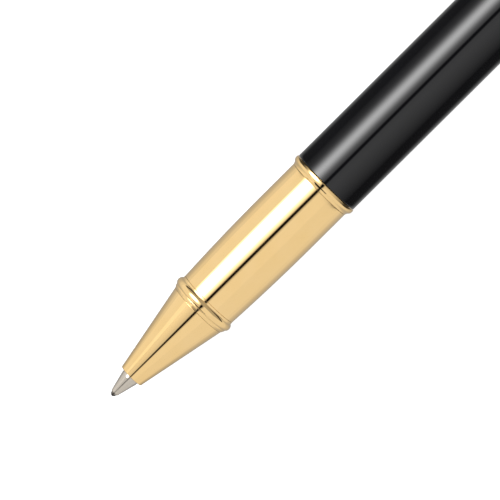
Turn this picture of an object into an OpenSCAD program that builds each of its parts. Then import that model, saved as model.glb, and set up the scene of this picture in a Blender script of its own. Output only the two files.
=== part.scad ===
// Capped rollerball pen with a gold-plated grip section and a black lacquered barrel.
// It lies on its side with the cap posted on the barrel's tail, and its clip stops it rolling.
// The origin is the writing point. +X runs along the pen to the cap's crown and +Z is up. Lengths are in mm.

/* [Writing point] */
// Diameter of the writing ball
ball_d = 0.6; // [0.5:0.1:0.7]
// How far the steel point stands out of the nose
point_out = 3.77; // [3.5:0.01:3.9]
// Diameter of the steel point where it enters the nose
point_d = 2.57; // [2.5:0.01:2.7]

/* [Grip section] */
// Outer diameter of the nose at its mouth, before the lip is rounded
mouth_d = 3.69; // [3.6:0.01:3.8]
// Length of the nose cone that shows
nose_length = 12.86; // [12.6:0.01:13]
// Outer diameter at the wide end of the nose cone
nose_end_d = 8.67; // [8.6:0.01:8.7]
// Crest diameter of the bead that the cap snaps on to
catch_d = 9.76; // [9.6:0.01:9.8]
// Width of the catch ring
catch_w = 2.14; // [2:0.01:2.2]
// Diameter of the grip sleeve at its front
sleeve_front_d = 9.02; // [8.95:0.01:9.1]
// Diameter of the grip sleeve at its rear
sleeve_rear_d = 9.8; // [9.7:0.01:9.9]
// Length of the grip sleeve
sleeve_length = 21.18; // [20.5:0.01:22]
// Length of the sleeve's parallel part, at its rear
sleeve_parallel = 6; // [3:0.1:7]
// Diameter of the trim ring between the sleeve and the barrel
trim_d = 10.68; // [10.6:0.01:10.8]
// Width of the trim ring
trim_w = 1.28; // [1.2:0.01:1.4]

/* [Barrel] */
// Diameter of the barrel's parallel part
barrel_d = 10.41; // [10.35:0.01:10.5]
// Length of the barrel tube
barrel_length = 79.67; // [79:0.01:80.5]
// Length of the barrel's parallel part
barrel_parallel = 43; // [40:0.5:44]
// Diameter of the barrel tube where it meets the tail
tail_d = 9.2; // [9.1:0.01:9.3]
// Length of the gold tail behind the barrel tube
tail_length = 4.2; // [4:0.1:4.4]

/* [Barrel thread] */
// Pitch of the thread that joins the section to the barrel
thread_pitch = 1; // [1:1]
// Crest diameter of the section's outer thread
thread_d = 7.9; // [7.8:0.01:7.9]
// Threaded length on the section
thread_length = 4.8; // [4.4:0.1:4.8]

/* [Refill] */
// Length of the refill from the ball to the rear plug
refill_length = 111; // [110:0.1:111.2]
// Diameter of the refill's tube
refill_d = 6.1; // [6:0.01:6.15]
// Wire diameter of the spring behind the refill
spring_wire = 0.4; // [0.3:0.05:0.5]
// Number of the spring's coils
spring_coils = 6; // [5:1:7]

/* [Cap] */
// Outer diameter of the cap tube
cap_d = 12.4; // [12.3:0.01:12.5]
// Length of the cap from its lip to its crown
cap_length = 62.4; // [62:0.1:62.6]
// How much of the barrel and tail the posted cap covers
cap_overlap = 35.2; // [35:0.1:35.4]
// Diameter of the gold band at the cap's lip
band_d = 12.6; // [12.55:0.01:12.7]
// Length of the gold band that shows
band_length = 4.6; // [4.4:0.1:5]

/* [Clip] */
// Distance from the clip's pivot line to the ball at its end
clip_length = 37.3; // [34:0.1:38]
// Width of the clip at its root
clip_root_w = 3.2; // [3:0.1:3.3]
// Width of the clip at its end
clip_end_w = 1.9; // [1.7:0.1:2.2]
// Diameter of the ball at the clip's end
clip_ball_d = 2.6; // [2.4:0.1:2.6]
// How far the clip points below the horizontal, towards -Y, as the pen lies
clip_roll = 38; // [36:0.5:38]

/* [Hidden] */
$fn = 96;

gold = [0.90, 0.74, 0.44];
brass = [0.80, 0.66, 0.36];
lacquer = [0.03, 0.03, 0.04];
steel = [0.72, 0.72, 0.70];
black_plastic = [0.08, 0.08, 0.09];
white_plastic = [0.90, 0.90, 0.88];
fibre = [0.12, 0.14, 0.32];

fit = 0.02;  // radial and end gap of parts pushed together
run = 0.015; // radial gap of the ball in its socket
free = 0.13; // gap of parts that slide or screw past each other

// Stations along the pen
nose_x = point_out;
catch_x = nose_x + nose_length;
sleeve_x = catch_x + catch_w;
trim_x = sleeve_x + sleeve_length;
barrel_x = trim_x + trim_w;
tail_x = barrel_x + barrel_length;
pen_end = tail_x + tail_length;
cap_x = pen_end - cap_overlap;
cap_end = cap_x + cap_length;

// Radii inside the section
tenon_r = 3.98;
refill_r = refill_d / 2;
bore_r = refill_r + 0.2;
nose_slope = (nose_end_d - mouth_d) / 2 / nose_length;
nose_angle = atan(nose_slope);
shoulder_x = 13; // where the refill's shoulder starts

// Radii inside the barrel
barrel_bore_r = 4.55;
tail_bore_r = 4.1;
bush_length = 10.8;
thread_x = barrel_x + 1.7;
thread_depth = 0.4;
thread_root_r = thread_d / 2 - thread_depth;
cup_x = refill_length + 3.5;
cup_end = pen_end - 6.3;

// Radii inside the cap
cap_bore_r = 5.75;
lip_bore_r = 5.42;
snap_x = cap_x + 20.6;
inner_x = snap_x + 1.3;
inner_end = cap_x + 44;
tube_end = cap_end - 5.4;
collar_end = tube_end + 1.8;
screw_r = 1.5;
pivot = [tube_end + 0.8, 0, 6.9]; // the clip's bending line, in the clip's own frame
clip_ball_x = pivot[0] - clip_length;
arm_low = 7.35;
arm_high = 8.2;

// Points on an arc in the [radius, x] plane, from angle a0 to a1, where 0 points outwards and 90 along +X
function arc(centre, r, a0, a1, steps = 8) =
    [for (i = [0:steps]) let (a = a0 + (a1 - a0) * i / steps) centre + r * [cos(a), sin(a)]];

// Outer radius of the nose cone
function nose_r(x) = mouth_d / 2 + nose_slope * (x - nose_x);

// A slow arc that starts parallel to the axis and has fallen by drop after length
function fall(drop, length, at) = drop * pow(at / length, 2);

// Outline [radius, x] points turned about the pen's axis
module lathe(outline) rotate([0, 90, 0]) rotate_extrude() polygon(outline);

module tube(x0, x1, outer, inner) lathe([[inner, x0], [outer, x0], [outer, x1], [inner, x1]]);

module rod(x0, x1, r) translate([x0, 0, 0]) rotate([0, 90, 0]) cylinder(h = x1 - x0, r = r);

// A closed sweep of one ring of points per station, as a polyhedron
module swept(rings) {
    sides = len(rings[0]);
    last = len(rings) - 1;
    polyhedron(
        points = [for (ring = rings) each ring],
        faces = concat(
            [[for (j = [0:sides - 1]) j]],
            [for (i = [0:last - 1], j = [0:sides - 1]) let (k = (j + 1) % sides)
                each [
                    [i * sides + j, (i + 1) * sides + j, (i + 1) * sides + k],
                    [i * sides + j, (i + 1) * sides + k, i * sides + k]
                ]],
            [[for (j = [sides - 1:-1:0]) last * sides + j]]
        )
    );
}

// A right-hand ridge wound round the axis, from base radius to crest radius, that fades in and out
module thread_ridge(x0, length, base, crest) {
    per_turn = 32;
    count = floor(length / thread_pitch * per_turn);
    fade = per_turn / 4;
    foot = 0.3 * thread_pitch;
    top = 0.125 * thread_pitch;
    swept([for (i = [0:count])
        let (
            turn = 360 * i / per_turn,
            x = x0 + thread_pitch * i / per_turn,
            share = max(0.1, min(1, i / fade, (count - i) / fade)),
            high = base + (crest - base) * share,
            wide = foot + (top - foot) * share,
            outline = [[x - foot, base], [x - wide, high], [x + wide, high], [x + foot, base]]
        )
        [for (p = crest < base ? outline : [for (k = [3:-1:0]) outline[k]])
            [p[0], p[1] * cos(turn), p[1] * sin(turn)]]]);
}

// A spring of round wire, wound round the axis
module coil(x0, x1, mean_r, wire_r, turns) {
    per_turn = 20;
    sides = 8;
    count = turns * per_turn;
    swept([for (i = [0:count])
        let (
            turn = 360 * i / per_turn,
            x = x0 + wire_r + (x1 - x0 - 2 * wire_r) * i / count
        )
        [for (j = [0:sides - 1])
            let (b = -360 * j / sides, r = mean_r + wire_r * cos(b))
            [x + wire_r * sin(b), r * cos(turn), r * sin(turn)]]]);
}

// Turns what is drawn with the clip pointing up to where the clip points as the pen lies
module at_clip() rotate([90 + clip_roll, 0, 0]) children();

// ---- Grip section ----

module nose_cone() color(gold) {
    lip_r = 0.18;
    lip_x = nose_x + lip_r;
    mouth_r = point_d / 2 + 0.065;
    lathe(concat(
        [[mouth_r, nose_x]],
        arc([nose_r(lip_x) - lip_r / cos(nose_angle), lip_x], lip_r, -90, -nose_angle, 6),
        [
            [nose_r(catch_x), catch_x], [tenon_r, catch_x], [tenon_r, sleeve_x + 5],
            [bore_r - 0.05, sleeve_x + 5], [bore_r - 0.05, shoulder_x + 1], [2.55, shoulder_x + 0.2],
            [2.55, 9.2], [1.9, 9.2], [1.9, 6.15], [mouth_r, 5.8]
        ]
    ));
}

module catch_ring() color(gold) {
    bead_r = 0.7;
    bead_x = catch_x + 1.16;
    front = nose_r(catch_x);
    lathe(concat(
        [[tenon_r + fit, catch_x + fit], [front, catch_x + fit], [front + 0.21, catch_x + 0.35]],
        [[front + 0.27, catch_x + 0.52]],
        arc([catch_d / 2 - bead_r, bead_x], bead_r, -56, 58, 12),
        [[sleeve_front_d / 2 + 0.03, sleeve_x - 0.27], [sleeve_front_d / 2, sleeve_x - 0.03]],
        [[tenon_r + fit, sleeve_x - 0.03]]
    ));
}

module grip_sleeve() color(gold) {
    curved = sleeve_length - sleeve_parallel;
    drop = (sleeve_rear_d - sleeve_front_d) / 2;
    steps = 16;
    lathe(concat(
        [[tenon_r + fit, sleeve_x]],
        [for (i = [0:steps]) let (at = curved * (1 - i / steps))
            [sleeve_rear_d / 2 - fall(drop, curved, at), sleeve_x + curved - at]],
        [[sleeve_rear_d / 2, trim_x - fit], [tenon_r + fit, trim_x - fit]]
    ));
}

module trim_ring() color(gold) {
    round_r = 0.6;
    round_x = trim_x + 0.9;
    front = sleeve_rear_d / 2 + 0.01;
    lathe(concat(
        [[tenon_r + fit, trim_x], [front, trim_x], [front + 0.04, trim_x + 0.17]],
        [[front + 0.11, trim_x + 0.3], [front + 0.19, trim_x + 0.41]],
        arc([trim_d / 2 - round_r, round_x], round_r, -38, 0, 8),
        [[trim_d / 2 - 0.01, barrel_x - 0.13], [trim_d / 2 - 0.04, barrel_x - 0.06]],
        [[trim_d / 2 - 0.09, barrel_x - 0.03], [4.54, barrel_x - 0.03]],
        [[4.54, barrel_x - 0.4], [tenon_r + fit, barrel_x - 0.4]]
    ));
}

module section_bush() color(brass) {
    union() {
        lathe([
            [bore_r, trim_x - 9], [tenon_r, trim_x - 9], [tenon_r, barrel_x - 0.38], [4.5, barrel_x - 0.38],
            [4.5, barrel_x - 0.03], [tenon_r, barrel_x - 0.03], [tenon_r, thread_x - 0.45],
            [thread_root_r, thread_x - 0.3], [thread_root_r, thread_x + thread_length + 0.9],
            [thread_root_r - 0.15, thread_x + thread_length + 1.1], [bore_r, thread_x + thread_length + 1.1]
        ]);
        thread_ridge(thread_x, thread_length, thread_root_r - 0.12, thread_d / 2);
    }
}

// ---- Refill ----

module writing_ball() color(steel) translate([ball_d / 2, 0, 0]) sphere(d = ball_d);

module tip_cone() color(steel) {
    rim_x = 0.18;
    cone_x = 0.62;
    cone_r = 0.585;
    wide_x = nose_x - 0.4;
    difference() {
        lathe([
            [0, rim_x], [0.33, rim_x], [0.355, 0.22], [0.37, 0.34], [cone_r, cone_x], [point_d / 2, wide_x],
            [point_d / 2, 6.2], [1, 6.2], [1, 11.2], [0, 11.2]
        ]);
        translate([ball_d / 2, 0, 0]) sphere(r = ball_d / 2 + run);
        rod(0.4, 1.6, 0.2);
        rod(1.5, 12, 0.42);
    }
}

module tip_holder() color(black_plastic) lathe([
    [1 + fit, 6.22], [1.75, 6.22], [1.75, 9.3], [2.35, 9.6], [2.35, shoulder_x], [refill_r, shoulder_x + 0.9],
    [refill_r, shoulder_x + 1], [2.57, shoulder_x + 1], [2.57, shoulder_x + 6.5], [0.47, shoulder_x + 6.5],
    [0.47, 11.4], [1 + fit, 11.4]
]);

module feed_wick() color(fibre) rod(1.65, 24, 0.4);

module refill_tube() color(white_plastic) tube(shoulder_x + 1.02, refill_length - 1.5, refill_r, 2.6);

module ink_reservoir() color(fibre) difference() {
    rod(shoulder_x + 6.6, refill_length - 7, 2.55);
    rod(shoulder_x + 6, 24.2, 0.44);
}

module refill_plug() color(black_plastic) lathe([
    [0.3, refill_length - 6.5], [2.57, refill_length - 6.5], [2.57, refill_length - 1.48],
    [refill_r, refill_length - 1.48], [refill_r, refill_length], [1.6, refill_length],
    [1.6, refill_length + 1.2], [1.4, refill_length + 1.4], [0.3, refill_length + 1.4]
]);

// ---- Spring and barrel ----

module refill_spring() color(steel)
    coil(refill_length + 0.03, cup_end - 0.73, 2.3, spring_wire / 2, spring_coils);

module spring_cup() color(black_plastic) lathe([
    [2.7, cup_x], [3.15, cup_x], [3.15, cup_end], [0.8, cup_end], [0.8, cup_end - 0.7], [2.7, cup_end - 0.7]
]);

module barrel_tube() color(lacquer) {
    tapered = barrel_length - barrel_parallel;
    drop = (barrel_d - tail_d) / 2;
    steps = 16;
    edge = 0.08;
    lathe(concat(
        [[barrel_bore_r, barrel_x + 0.04], [barrel_d / 2 - edge, barrel_x + 0.04], [barrel_d / 2, barrel_x + 0.04 + edge]],
        [for (i = [0:steps]) let (at = tapered * i / steps)
            [barrel_d / 2 - fall(drop, tapered, at), barrel_x + barrel_parallel + at]],
        [[tail_bore_r, tail_x], [tail_bore_r, barrel_x + barrel_parallel + 8]],
        [[barrel_bore_r, barrel_x + barrel_parallel + 6]]
    ));
}

module barrel_bush() color(brass) {
    minor_r = thread_root_r + free;
    major_r = thread_d / 2 + free;
    x0 = barrel_x + 0.2;
    thread_end = thread_x + thread_length + 0.2;
    union() {
        lathe([
            [major_r + 0.02, x0], [barrel_bore_r - fit, x0], [barrel_bore_r - fit, x0 + bush_length],
            [minor_r, x0 + bush_length], [minor_r, thread_end + 0.7], [major_r, thread_end + 0.35]
        ]);
        thread_ridge(thread_x + thread_pitch / 2, thread_length - 0.4, major_r + 0.12, minor_r);
    }
}

module tail_plug() color(gold) {
    ring_r = tail_d / 2 + 0.05;
    dome_x = tail_x + 1.5;
    dome_r = 4.45;
    steps = 12;
    lathe(concat(
        [[0, cup_end + 0.1], [3.3, cup_end + 0.1], [3.3, tail_x - 5.2], [tail_bore_r - fit, tail_x - 5.2]],
        [[tail_bore_r - fit, tail_x + fit], [ring_r - 0.08, tail_x + fit], [ring_r, tail_x + 0.12]],
        [[ring_r, tail_x + 1], [ring_r - 0.1, tail_x + 1.12], [4.35, tail_x + 1.2], [4.35, tail_x + 1.4]],
        [for (i = [0:steps]) let (a = 90 * i / steps)
            [i == steps ? 0 : dome_r * cos(a), dome_x + (pen_end - dome_x) * sin(a)]]
    ));
}

// ---- Cap ----

module snap_ring() color(steel) {
    gap = 30;
    at_clip() rotate([gap / 2, 0, 0]) rotate([0, 90, 0]) rotate([0, 0, 180])
        rotate_extrude(angle = 360 - gap)
            translate([4.94, snap_x]) square([0.66, 0.8]);
}

module cap_band() color(gold) lathe([
    [lip_bore_r, cap_x + 0.15], [lip_bore_r + 0.15, cap_x], [band_d / 2 - 0.25, cap_x],
    [band_d / 2 - 0.07, cap_x + 0.08], [band_d / 2, cap_x + 0.26], [band_d / 2, cap_x + 0.95],
    [band_d / 2 - 0.16, cap_x + 1.05], [band_d / 2 - 0.16, cap_x + 1.35], [band_d / 2 - 0.02, cap_x + 1.45],
    [band_d / 2 - 0.02, cap_x + 3.45], [band_d / 2 - 0.16, cap_x + 3.55], [band_d / 2 - 0.16, cap_x + 3.85],
    [band_d / 2, cap_x + 3.95], [band_d / 2, cap_x + band_length - 0.1],
    [band_d / 2 - 0.1, cap_x + band_length], [cap_bore_r - fit, cap_x + band_length],
    [cap_bore_r - fit, cap_x + band_length + 4], [lip_bore_r, cap_x + band_length + 4]
]);

module cap_tube() color(lacquer) tube(cap_x + band_length + fit, tube_end, cap_d / 2, cap_bore_r);

// A sleeve that keeps the snap ring against the inner cap
module ring_spacer() color(black_plastic)
    tube(cap_x + band_length + 4 + fit, snap_x - 0.2, cap_bore_r - fit, lip_bore_r);

module inner_cap() color(black_plastic) {
    chamber_r = 5.02;
    wall_r = cap_bore_r - fit;
    lathe([
        [chamber_r + 0.25, inner_x], [wall_r, inner_x], [wall_r, inner_end - 1], [wall_r - 0.8, inner_end],
        [screw_r + 0.1, inner_end], [screw_r + 0.1, inner_end - 1.5], [3.4, inner_end - 1.5],
        [3.6, inner_end - 4.5], [chamber_r, inner_end - 9], [chamber_r, inner_x + 0.4]
    ]);
}

module crown_plug() color(brass) tube(tube_end - 4, tube_end, cap_bore_r - fit, screw_r + 0.1);

module finial_screw() color(steel) difference() {
    union() {
        rod(inner_end - 2.6, inner_end - 1.52, 2.4);
        rod(inner_end - 2, collar_end + 1.2, screw_r);
    }
    translate([inner_end - 2.7, -2.5, -0.3]) cube([0.6, 5, 0.6]);
}

module lock_washer() color(steel) tube(tube_end - 4.32, tube_end - 4.02, 2.8, screw_r + 0.1);

// The clip's foot: a ring clamped under the finial and a tab that stands out through the collar
module clip_bracket() color(gold) at_clip() {
    thick = 0.7;
    difference() {
        union() {
            rod(tube_end + fit, tube_end + fit + thick, 4.6);
            translate([tube_end + fit, -clip_root_w / 2, 0]) cube([thick, clip_root_w, pivot[2]]);
        }
        rod(tube_end - 1, collar_end, screw_r + 0.1);
    }
}

module clip_arm() color(gold) at_clip() {
    root_x = tube_end + 0.9;
    end_x = clip_ball_x + 0.4;
    ball_z = cap_d / 2 + 0.1 + clip_ball_d / 2;
    half_root = clip_root_w / 2;
    half_end = clip_end_w / 2;
    union() {
        intersection() {
            translate([0, 10, 0]) rotate([90, 0, 0]) linear_extrude(20) polygon([
                [root_x, pivot[2] + 0.06], [root_x, arm_high - 0.35], [root_x - 0.35, arm_high],
                [end_x, arm_high], [end_x, arm_low], [tube_end - 0.5, arm_low], [tube_end, pivot[2] + 0.06]
            ]);
            linear_extrude(20) polygon([
                [root_x, -half_root], [root_x, half_root], [end_x, half_end], [end_x, -half_end]
            ]);
        }
        translate([clip_ball_x, 0, ball_z]) sphere(d = clip_ball_d);
    }
}

module clip_collar() color(gold) difference() {
    lathe([
        [4.62, tube_end + fit], [cap_d / 2, tube_end + fit], [cap_d / 2 + 0.05, tube_end + 0.12],
        [cap_d / 2 + 0.05, collar_end - 0.12], [cap_d / 2 - 0.05, collar_end], [4.62, collar_end]
    ]);
    at_clip() translate([tube_end - 0.1, -clip_root_w / 2 - 0.05, 3]) cube([0.9, clip_root_w + 0.1, 6]);
}

module finial_base() color(gold) difference() {
    lathe([
        [0, tube_end + 0.76], [4.58, tube_end + 0.76], [4.58, collar_end + fit], [5.75, collar_end + fit],
        [5.9, collar_end + 0.17], [5.9, collar_end + 0.55], [5.35, collar_end + 1.2], [5.05, collar_end + 1.3],
        [5.05, collar_end + 1.75], [4.75, collar_end + 1.95], [4.4, collar_end + 1.95], [4.4, collar_end + 1.45],
        [0, collar_end + 1.45]
    ]);
    rod(tube_end, collar_end + 1.3, screw_r + 0.03);
}

module finial_jewel() color(lacquer) {
    seat_x = collar_end + 1.47;
    jewel_r = 4.38;
    rise = cap_end - seat_x - 0.5;
    steps = 10;
    lathe(concat(
        [[0, seat_x], [jewel_r, seat_x]],
        [for (i = [0:steps]) let (a = 90 * i / steps)
            [i == steps ? 0 : jewel_r * cos(a), seat_x + 0.5 + rise * sin(a)]]
    ));
}

nose_cone();
catch_ring();
grip_sleeve();
trim_ring();
section_bush();
writing_ball();
tip_cone();
tip_holder();
feed_wick();
refill_tube();
ink_reservoir();
refill_plug();
refill_spring();
spring_cup();
barrel_tube();
barrel_bush();
tail_plug();
snap_ring();
cap_band();
cap_tube();
ring_spacer();
inner_cap();
crown_plug();
finial_screw();
lock_washer();
clip_bracket();
clip_arm();
clip_collar();
finial_base();
finial_jewel();
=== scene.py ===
"""Looks of a capped rollerball pen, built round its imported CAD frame.

The pen lies along +X with its writing point at the origin, +Z up. The sizes in the classes
are in millimetres, and become metres where a mesh is made.
"""

import logging
import math
from dataclasses import dataclass
from enum import Enum
from typing import Callable, Optional, Sequence, Union

import bmesh
import bpy
from mathutils import Matrix, Vector


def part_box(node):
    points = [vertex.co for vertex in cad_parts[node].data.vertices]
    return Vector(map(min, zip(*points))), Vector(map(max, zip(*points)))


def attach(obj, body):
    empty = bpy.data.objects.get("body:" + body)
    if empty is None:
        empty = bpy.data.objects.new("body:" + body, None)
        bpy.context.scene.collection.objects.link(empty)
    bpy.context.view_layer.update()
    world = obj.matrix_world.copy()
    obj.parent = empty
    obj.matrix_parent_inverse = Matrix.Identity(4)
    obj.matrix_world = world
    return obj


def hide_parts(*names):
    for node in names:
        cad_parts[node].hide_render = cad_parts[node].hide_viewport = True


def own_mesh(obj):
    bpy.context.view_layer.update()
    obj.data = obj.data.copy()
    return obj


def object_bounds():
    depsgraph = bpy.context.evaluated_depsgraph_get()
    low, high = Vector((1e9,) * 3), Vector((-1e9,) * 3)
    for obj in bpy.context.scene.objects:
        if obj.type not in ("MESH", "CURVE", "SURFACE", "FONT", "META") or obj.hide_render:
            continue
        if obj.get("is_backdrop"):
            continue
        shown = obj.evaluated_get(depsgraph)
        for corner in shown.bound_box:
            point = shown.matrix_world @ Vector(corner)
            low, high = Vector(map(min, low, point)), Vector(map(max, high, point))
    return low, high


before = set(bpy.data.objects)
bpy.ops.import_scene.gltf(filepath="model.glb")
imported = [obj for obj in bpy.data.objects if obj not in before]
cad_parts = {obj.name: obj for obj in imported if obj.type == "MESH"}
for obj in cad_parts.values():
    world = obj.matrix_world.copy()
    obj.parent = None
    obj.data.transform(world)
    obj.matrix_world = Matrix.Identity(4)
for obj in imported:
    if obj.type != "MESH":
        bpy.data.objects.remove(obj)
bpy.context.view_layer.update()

MM = 0.001
log = logging.getLogger("rollerball")

Setting = Union[bpy.types.NodeSocket, float, int, bool, Sequence[float]]
Point = tuple[float, float]


# ---- Small tools ----


def to_linear(colour: str) -> tuple[float, float, float, float]:
    """Turns an sRGB hex colour into a linear one.

    Args:
        colour: The colour, as "#RRGGBB".

    Returns:
        Linear red, green, blue and an alpha of 1.
    """
    shares = [int(colour[i : i + 2], 16) / 255 for i in (1, 3, 5)]
    linear = [s / 12.92 if s <= 0.04045 else ((s + 0.055) / 1.055) ** 2.4 for s in shares]
    return (linear[0], linear[1], linear[2], 1.0)


def put(
    tree: bpy.types.NodeTree,
    kind: str,
    inputs: Optional[dict[Union[str, int], Setting]] = None,
    **settings: object,
) -> bpy.types.Node:
    """Adds a node with its settings and links.

    Args:
        tree: The node tree to add to.
        kind: The node's type.
        inputs: For each input's name or index, a value or the output that feeds it.
        **settings: Properties of the node itself.

    Returns:
        The new node.
    """
    node = tree.nodes.new(kind)
    for key, value in settings.items():
        setattr(node, key, value)
    for key, value in (inputs or {}).items():
        if isinstance(value, bpy.types.NodeSocket):
            tree.links.new(value, node.inputs[key])
        else:
            node.inputs[key].default_value = value
    return node


def low_x(node: str) -> float:
    """Gives where a CAD node starts along the pen, in mm."""
    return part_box(node)[0].x / MM


def high_x(node: str) -> float:
    """Gives where a CAD node ends along the pen, in mm."""
    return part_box(node)[1].x / MM


# ---- Outlines of turned pieces ----


@dataclass(frozen=True)
class Corner:
    """One corner of a turned piece's outline.

    Attributes:
        x: Place along the pen, in mm.
        r: Distance from the pen's axis, in mm.
        blend: Radius of the arc that rounds the corner, in mm.
        flows: True for a point of a smooth curve, which needs no arc.
        ridge: Height of a screw thread's ridge here, in mm, outwards if positive.
    """

    x: float
    r: float
    blend: float = 0.0
    flows: bool = False
    ridge: float = 0.0


GUARD = 0.03  # mm from an edge to the ring of points that keeps the face beside it true
GUARDED_LENGTH = 7 * GUARD  # mm, below which a stretch is too short to need guards
NEARLY_STRAIGHT = 178.0  # degrees, past which a corner isn't rounded
ARC_STEP = 12.0  # degrees of turn for each stretch of a rounded corner
LONGEST_CUT = 0.45  # share of an edge that the rounding of one end may take


def curve(
    start: float, end: float, radius_at: Callable[[float], float], steps: int = 24
) -> list[Corner]:
    """Samples a smooth outline.

    Args:
        start: Where it starts along the pen, in mm.
        end: Where it ends.
        radius_at: Gives the radius at a place along the pen.
        steps: How many stretches to make.

    Returns:
        The points, as corners that flow.
    """
    places = [start + (end - start) * i / steps for i in range(steps + 1)]
    return [Corner(x, radius_at(x), flows=True) for x in places]


def arc(centre: Point, radius: float, start: float, end: float, steps: int = 12) -> list[Corner]:
    """Samples an arc of the outline.

    Args:
        centre: The arc's centre, as a place along the pen and a radius, in mm.
        radius: The arc's radius, in mm.
        start: Where it starts, in degrees, with 0 outwards and 90 towards the crown.
        end: Where it ends.
        steps: How many stretches to make.

    Returns:
        The points, as corners that flow.
    """
    turns = [math.radians(start + (end - start) * i / steps) for i in range(steps + 1)]
    return [
        Corner(centre[0] + radius * math.sin(a), max(0.0, centre[1] + radius * math.cos(a)), flows=True)
        for a in turns
    ]


def dome(start: float, end: float, radius: float, steps: int = 24) -> list[Corner]:
    """Samples a quarter of an ellipse that closes on the pen's axis.

    Args:
        start: Where the dome starts along the pen, in mm.
        end: Where it meets the axis.
        radius: Its radius at the start.
        steps: How many stretches to make.

    Returns:
        The points, as corners that flow, the last one on the axis.
    """
    turns = [math.pi / 2 * i / steps for i in range(steps)]
    rim = [
        Corner(start + (end - start) * math.sin(a), radius * math.cos(a), flows=True) for a in turns
    ]
    return [*rim, Corner(end, 0.0, flows=True)]


def round_off(before: Corner, corner: Corner, after: Corner) -> list[Corner]:
    """Replaces a corner with an arc that meets both of its edges.

    Args:
        before: The corner before it.
        corner: The corner to round.
        after: The corner after it.

    Returns:
        The arc's points, or the corner itself where it can't be rounded.
    """
    here = Vector((corner.x, corner.r))
    back = Vector((before.x, before.r)) - here
    ahead = Vector((after.x, after.r)) - here
    opening = back.angle(ahead, math.pi)
    if corner.blend <= 0 or opening > math.radians(NEARLY_STRAIGHT):
        return [corner]
    longest = LONGEST_CUT * min(back.length, ahead.length)
    reach = min(corner.blend / math.tan(opening / 2), longest)
    start = here + back.normalized() * reach
    end = here + ahead.normalized() * reach
    steps = max(3, round(math.degrees(math.pi - opening) / ARC_STEP))
    points = []
    for i in range(steps + 1):
        share = i / steps
        sweep = start.lerp(here, share).lerp(here.lerp(end, share), share)
        points.append(Corner(sweep.x, sweep.y, ridge=corner.ridge))
    return points


def finished_outline(corners: Sequence[Corner], closed: bool) -> list[Corner]:
    """Rounds an outline's corners and guards the faces beside them.

    Args:
        corners: The outline, in order.
        closed: True for a ring, whose last corner joins the first.

    Returns:
        Every point that the turned mesh has.
    """
    count = len(corners)
    points: list[Corner] = []
    for i, corner in enumerate(corners):
        if not closed and i in (0, count - 1):
            points.append(corner)
        else:
            points.extend(round_off(corners[i - 1], corner, corners[(i + 1) % count]))
    guarded: list[Corner] = []
    for i, point in enumerate(points):
        guarded.append(point)
        if not closed and i == len(points) - 1:
            break
        ahead = points[(i + 1) % len(points)]
        length = math.hypot(ahead.x - point.x, ahead.r - point.r)
        if length < GUARDED_LENGTH:
            continue
        for end, share in ((point, GUARD / length), (ahead, 1 - GUARD / length)):
            if not end.flows:
                x = point.x + (ahead.x - point.x) * share
                r = point.r + (ahead.r - point.r) * share
                guarded.append(Corner(x, r))
    return guarded


# ---- Geometry Nodes trees ----


def new_tree(name: str, sizes: dict[str, str]) -> tuple[bpy.types.NodeTree, bpy.types.Node]:
    """Starts a Geometry Nodes tree with named inputs.

    Args:
        name: The tree's name.
        sizes: For each input's name, its socket type.

    Returns:
        The tree and its input node.
    """
    tree = bpy.data.node_groups.new(name, "GeometryNodeTree")
    tree.interface.new_socket("Geometry", in_out="INPUT", socket_type="NodeSocketGeometry")
    for label, kind in sizes.items():
        tree.interface.new_socket(label, in_out="INPUT", socket_type=kind)
    tree.interface.new_socket("Geometry", in_out="OUTPUT", socket_type="NodeSocketGeometry")
    return tree, put(tree, "NodeGroupInput")


def close_tree(tree: bpy.types.NodeTree, given: bpy.types.Node, made: bpy.types.NodeSocket) -> None:
    """Ends a tree: smooth shading, real geometry and the piece's material.

    Args:
        tree: The tree to end.
        given: Its input node, which has a Material.
        made: The geometry that it has made.
    """
    smooth = put(tree, "GeometryNodeSetShadeSmooth", {"Geometry": made})
    real = put(tree, "GeometryNodeRealizeInstances", {"Geometry": smooth.outputs[0]})
    dressed = put(
        tree,
        "GeometryNodeSetMaterial",
        {"Geometry": real.outputs[0], "Material": given.outputs["Material"]},
    )
    put(tree, "NodeGroupOutput", {0: dressed.outputs[0]})


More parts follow.
